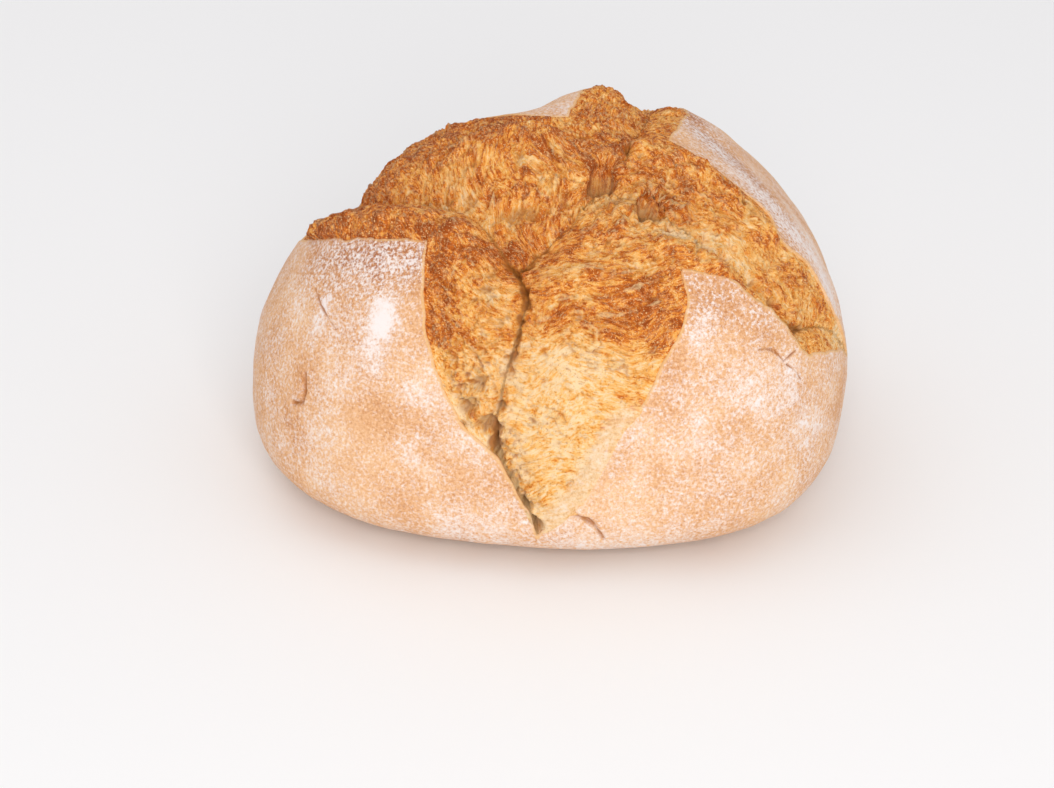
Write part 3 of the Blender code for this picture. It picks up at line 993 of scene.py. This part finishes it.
def crumb_material():
    """Torn wheat crumb browned in the oven: matt, pale in the valleys and red-brown on the ridges."""
    m = new_material("oven_browned_crumb")
    place = add(m, "TexCoord", output="Object")
    strand = add(m, "Attribute", {"attribute_name": "strand"}, "Vector")
    at = {name: add(m, "Attribute", {"attribute_name": name}, "Fac")
          for name in ("browning", "relief", "lip", "hollow", "cleft", "soft")}
    noise = {name: add(m, "TexNoise", Vector=where, Scale=1 / size, Detail=detail, Roughness=roughness)
             for name, where, size, detail, roughness in (
                 ("patches", place, 6.0 * MM, 5.0, 0.55),
                 ("broad", strand, 5.0, 3.0, 0.6),
                 ("fibres", strand, 1.3, 4.0, 0.65),
                 ("flecks", strand, 0.7, 3.0, 0.8),
                 ("creases", strand, 2.6, 3.0, 0.6),
                 ("painted_glints", place, 0.65 * MM, 2.0, 0.7),
                 ("painted_pit_shade", place, 1.1 * MM, 3.0, 0.7),
                 ("nubs", place, 0.9 * MM, 4.0, 0.75))}

    layers = {"patches": 0.9, "broad": 1.0, "fibres": 1.6, "flecks": 1.3}
    baked = add(m, "Math", SCALE_AND_ADD, i0=at["browning"], i1=0.72, i2=0.06 - sum(layers.values()) / 2)
    for name, share in layers.items():
        baked = add(m, "Math", SCALE_AND_ADD, i0=noise[name], i1=share, i2=baked)
    baked = add(m, "Math", SCALE_AND_ADD, i0=at["relief"], i1=0.08, i2=baked)
    colour = add(m, "ValToRGB", Fac=baked, stops=(
        (0.0, "#fbdaab"), (0.18, "#fbcb8b"), (0.34, "#f8b860"), (0.5, "#ee9f42"), (0.64, "#db7b28"),
        (0.8, "#bd5d1b"), (1.0, "#98450f")))
    crease = add(m, "Math", {"operation": "SUBTRACT"}, i0=noise["creases"], i1=0.5)
    crease = add(m, "Math", {"operation": "ABSOLUTE"}, i0=crease)
    colour = tinted(m, colour, (
        (crease, 0.02, 0.0, 0.35, "#f8d8a0"),
        # Pale specks: painted glints, sparkle off the torn crumb drawn into its colour
        (noise["painted_glints"], 0.59, 0.64, 0.7, "#ffdb9a"),
        # Painted highlight on raised edges, then painted shadow under them
        (at["lip"], 0.0, 1.0, 0.55, "#f8d49a"),
        (at["lip"], 0.0, -1.0, 0.55, "#b3601c"),
        # Dark specks: painted shade of tiny pits, scattered by noise
        (noise["painted_pit_shade"], 0.42, 0.34, 0.5, "#a9571a"),
        # Painted shade in the low parts of the fine relief
        (at["relief"], -0.4, -1.7, 0.75, "#a4622a"),
        # Painted shade inside the hollows and caves
        (at["hollow"], 0.0, 1.0, 0.55, "#bb9262"),
        # Painted warm shade down in the fissures
        (at["cleft"], 0.0, 1.0, 0.85, "#c27a30")))
    colour = add(m, "Mix", COLOURS, 2, i0=at["soft"], i6=colour, i7=soft_rim_colour(m, place))

    height = add(m, "Math", {"operation": "ADD"}, i0=noise["nubs"], i1=noise["fibres"])
    bump = add(m, "Bump", Strength=0.9, Distance=0.7 * MM, Height=height)
    shader = add(m, "BsdfPrincipled", Base_Color=colour, Roughness=0.6, IOR=1.45, Specular_IOR_Level=0.2,
                 Normal=bump)
    add(m, "OutputMaterial", Surface=shader)
    return m


def crust_material():
    """Baked wheat crust dusted with flour: matt tan, with white specks gathered in soft patches.

    Flour's own grains are too fine to show, so its specks are drawn about a millimetre across.
    """
    m = new_material("floured_wheat_crust")
    place = add(m, "TexCoord", output="Object")
    at = {name: add(m, "Attribute", {"attribute_name": name}, "Fac")
          for name in ("toast", "flour", "from_rim", "split", "soft")}
    noise = {name: add(m, "TexNoise", Vector=place, Scale=1 / size, Detail=detail, Roughness=roughness)
             for name, size, detail, roughness in (
                 ("bake", 18.0 * MM, 3.0, 0.5),
                 ("freckles", 1.0 * MM, 4.0, 0.75),
                 ("drifts", 16.0 * MM, 6.0, 0.65),
                 ("specks", 1.3 * MM, 5.0, 0.8),
                 ("heaps", 5.0 * MM, 6.0, 0.65),
                 ("skin", 1.2 * MM, 5.0, 0.7))}

    layers = {"bake": 0.4, "freckles": 0.9}
    baked = add(m, "Math", SCALE_AND_ADD, i0=at["toast"], i1=-0.34, i2=0.5 - sum(layers.values()) / 2)
    for name, share in layers.items():
        baked = add(m, "Math", SCALE_AND_ADD, i0=noise[name], i1=share, i2=baked)
    tan = add(m, "ValToRGB", Fac=baked, stops=(
        (0.16, "#a35d34"), (0.34, "#cb8d59"), (0.50, "#e2ad7d"), (0.70, "#f0caa0")))
    thick = add(m, "Math", SCALE_AND_ADD, i0=noise["drifts"], i1=1.3, i2=at["flour"])
    thick = add(m, "Math", {"operation": "ADD"}, i0=thick, i1=0.45)
    speck = add(m, "Math", {"operation": "SUBTRACT"}, i0=noise["specks"], i1=0.5)
    contrast = add(m, "Math", SCALE_AND_ADD, i0=at["toast"], i1=6.0, i2=3.9)
    dusting = add(m, "Math", SCALE_AND_ADD, i0=speck, i1=contrast, i2=thick)
    heaped = add(m, "Math", {"operation": "MULTIPLY"}, i0=thick, i1=0.5)
    heaped = add(m, "Math", SCALE_AND_ADD, i0=noise["heaps"], i1=2.0, i2=heaped)
    colour = tinted(m, tan, (
        (dusting, 0.95, 1.75, 0.9, "#f1e6e0"),
        (heaped, 1.84, 1.96, 0.75, "#f1e6e1"),
        # Painted highlight along the crust's torn rim and its cut edge
        (at["from_rim"], 1.1, 0.5, 0.7, "#eab878"),
        # Painted shade in the hairline splits
        (at["split"], 0.0, 1.0, 0.9, "#a8662c")))
    colour = add(m, "Mix", COLOURS, 2, i0=at["soft"], i6=colour, i7=soft_rim_colour(m, place))

    bump = add(m, "Bump", Strength=0.7, Distance=0.45 * MM, Height=noise["skin"])
    shader = add(m, "BsdfPrincipled", Base_Color=colour, Roughness=0.85, IOR=1.45, Normal=bump)
    add(m, "OutputMaterial", Surface=shader)
    return m


def make_floor():
    """A plain pale floor."""
    deselect()
    bpy.ops.mesh.primitive_plane_add(size=8.0, location=(0, 0, 0))
    floor = bpy.context.object
    floor.name = "floor"
    m = new_material("matt_white_paint")
    shader = add(m, "BsdfPrincipled", Base_Color=lin("#f4f3f1"), Roughness=0.9)
    add(m, "OutputMaterial", Surface=shader)
    floor.data.materials.append(m)


def area_light(name, power, size, place):
    """A soft square light that looks at the loaf."""
    light = bpy.data.lights.new(name, "AREA")
    light.energy = power
    light.size = size
    holder = bpy.data.objects.new(name, light)
    bpy.context.scene.collection.objects.link(holder)
    holder.location = place
    away = np.array(place) - np.array(LIGHTS_AIM)
    flat = math.hypot(away[0], away[1])
    holder.rotation_euler = (math.atan2(flat, away[2]), 0, math.atan2(away[0], -away[1]))


def light_scene():
    """Soft studio light: a broad key beside the camera, a weaker one above, and a pale surround."""
    for name, (power, size, place) in LIGHTS.items():
        area_light(name, power, size, place)
    world = bpy.data.worlds.new("studio")
    bpy.context.scene.world = world
    world.use_nodes = True
    surround = world.node_tree.nodes["Background"]
    colour, strength = SURROUND
    surround.inputs["Color"].default_value = lin(colour)
    surround.inputs["Strength"].default_value = strength
    bpy.context.scene.view_settings.view_transform = "Standard"


def place_camera():
    """The photograph's view: level from side to side, looking down at the loaf from the front."""
    camera = bpy.data.cameras.new("camera")
    camera.sensor_fit = "HORIZONTAL"
    camera.sensor_width = FILM_WIDTH
    camera.lens = LENS / FRAME_WIDTH * FILM_WIDTH
    camera.clip_start = 0.01
    holder = bpy.data.objects.new("camera", camera)
    bpy.context.scene.collection.objects.link(holder)
    holder.location = [length * MM for length in CAMERA_PLACE]
    holder.rotation_euler = (math.radians(90 - CAMERA_PITCH), 0, 0)
    bpy.context.scene.camera = holder


place_camera()
crumb = make_crumb()
crumb.data.materials.append(crumb_material())
crust = make_crust()
crust.data.materials.append(crust_material())
for loaf_piece in (crumb, crust):
    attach(loaf_piece, "root")
    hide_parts("bread")
make_floor()
light_scene()
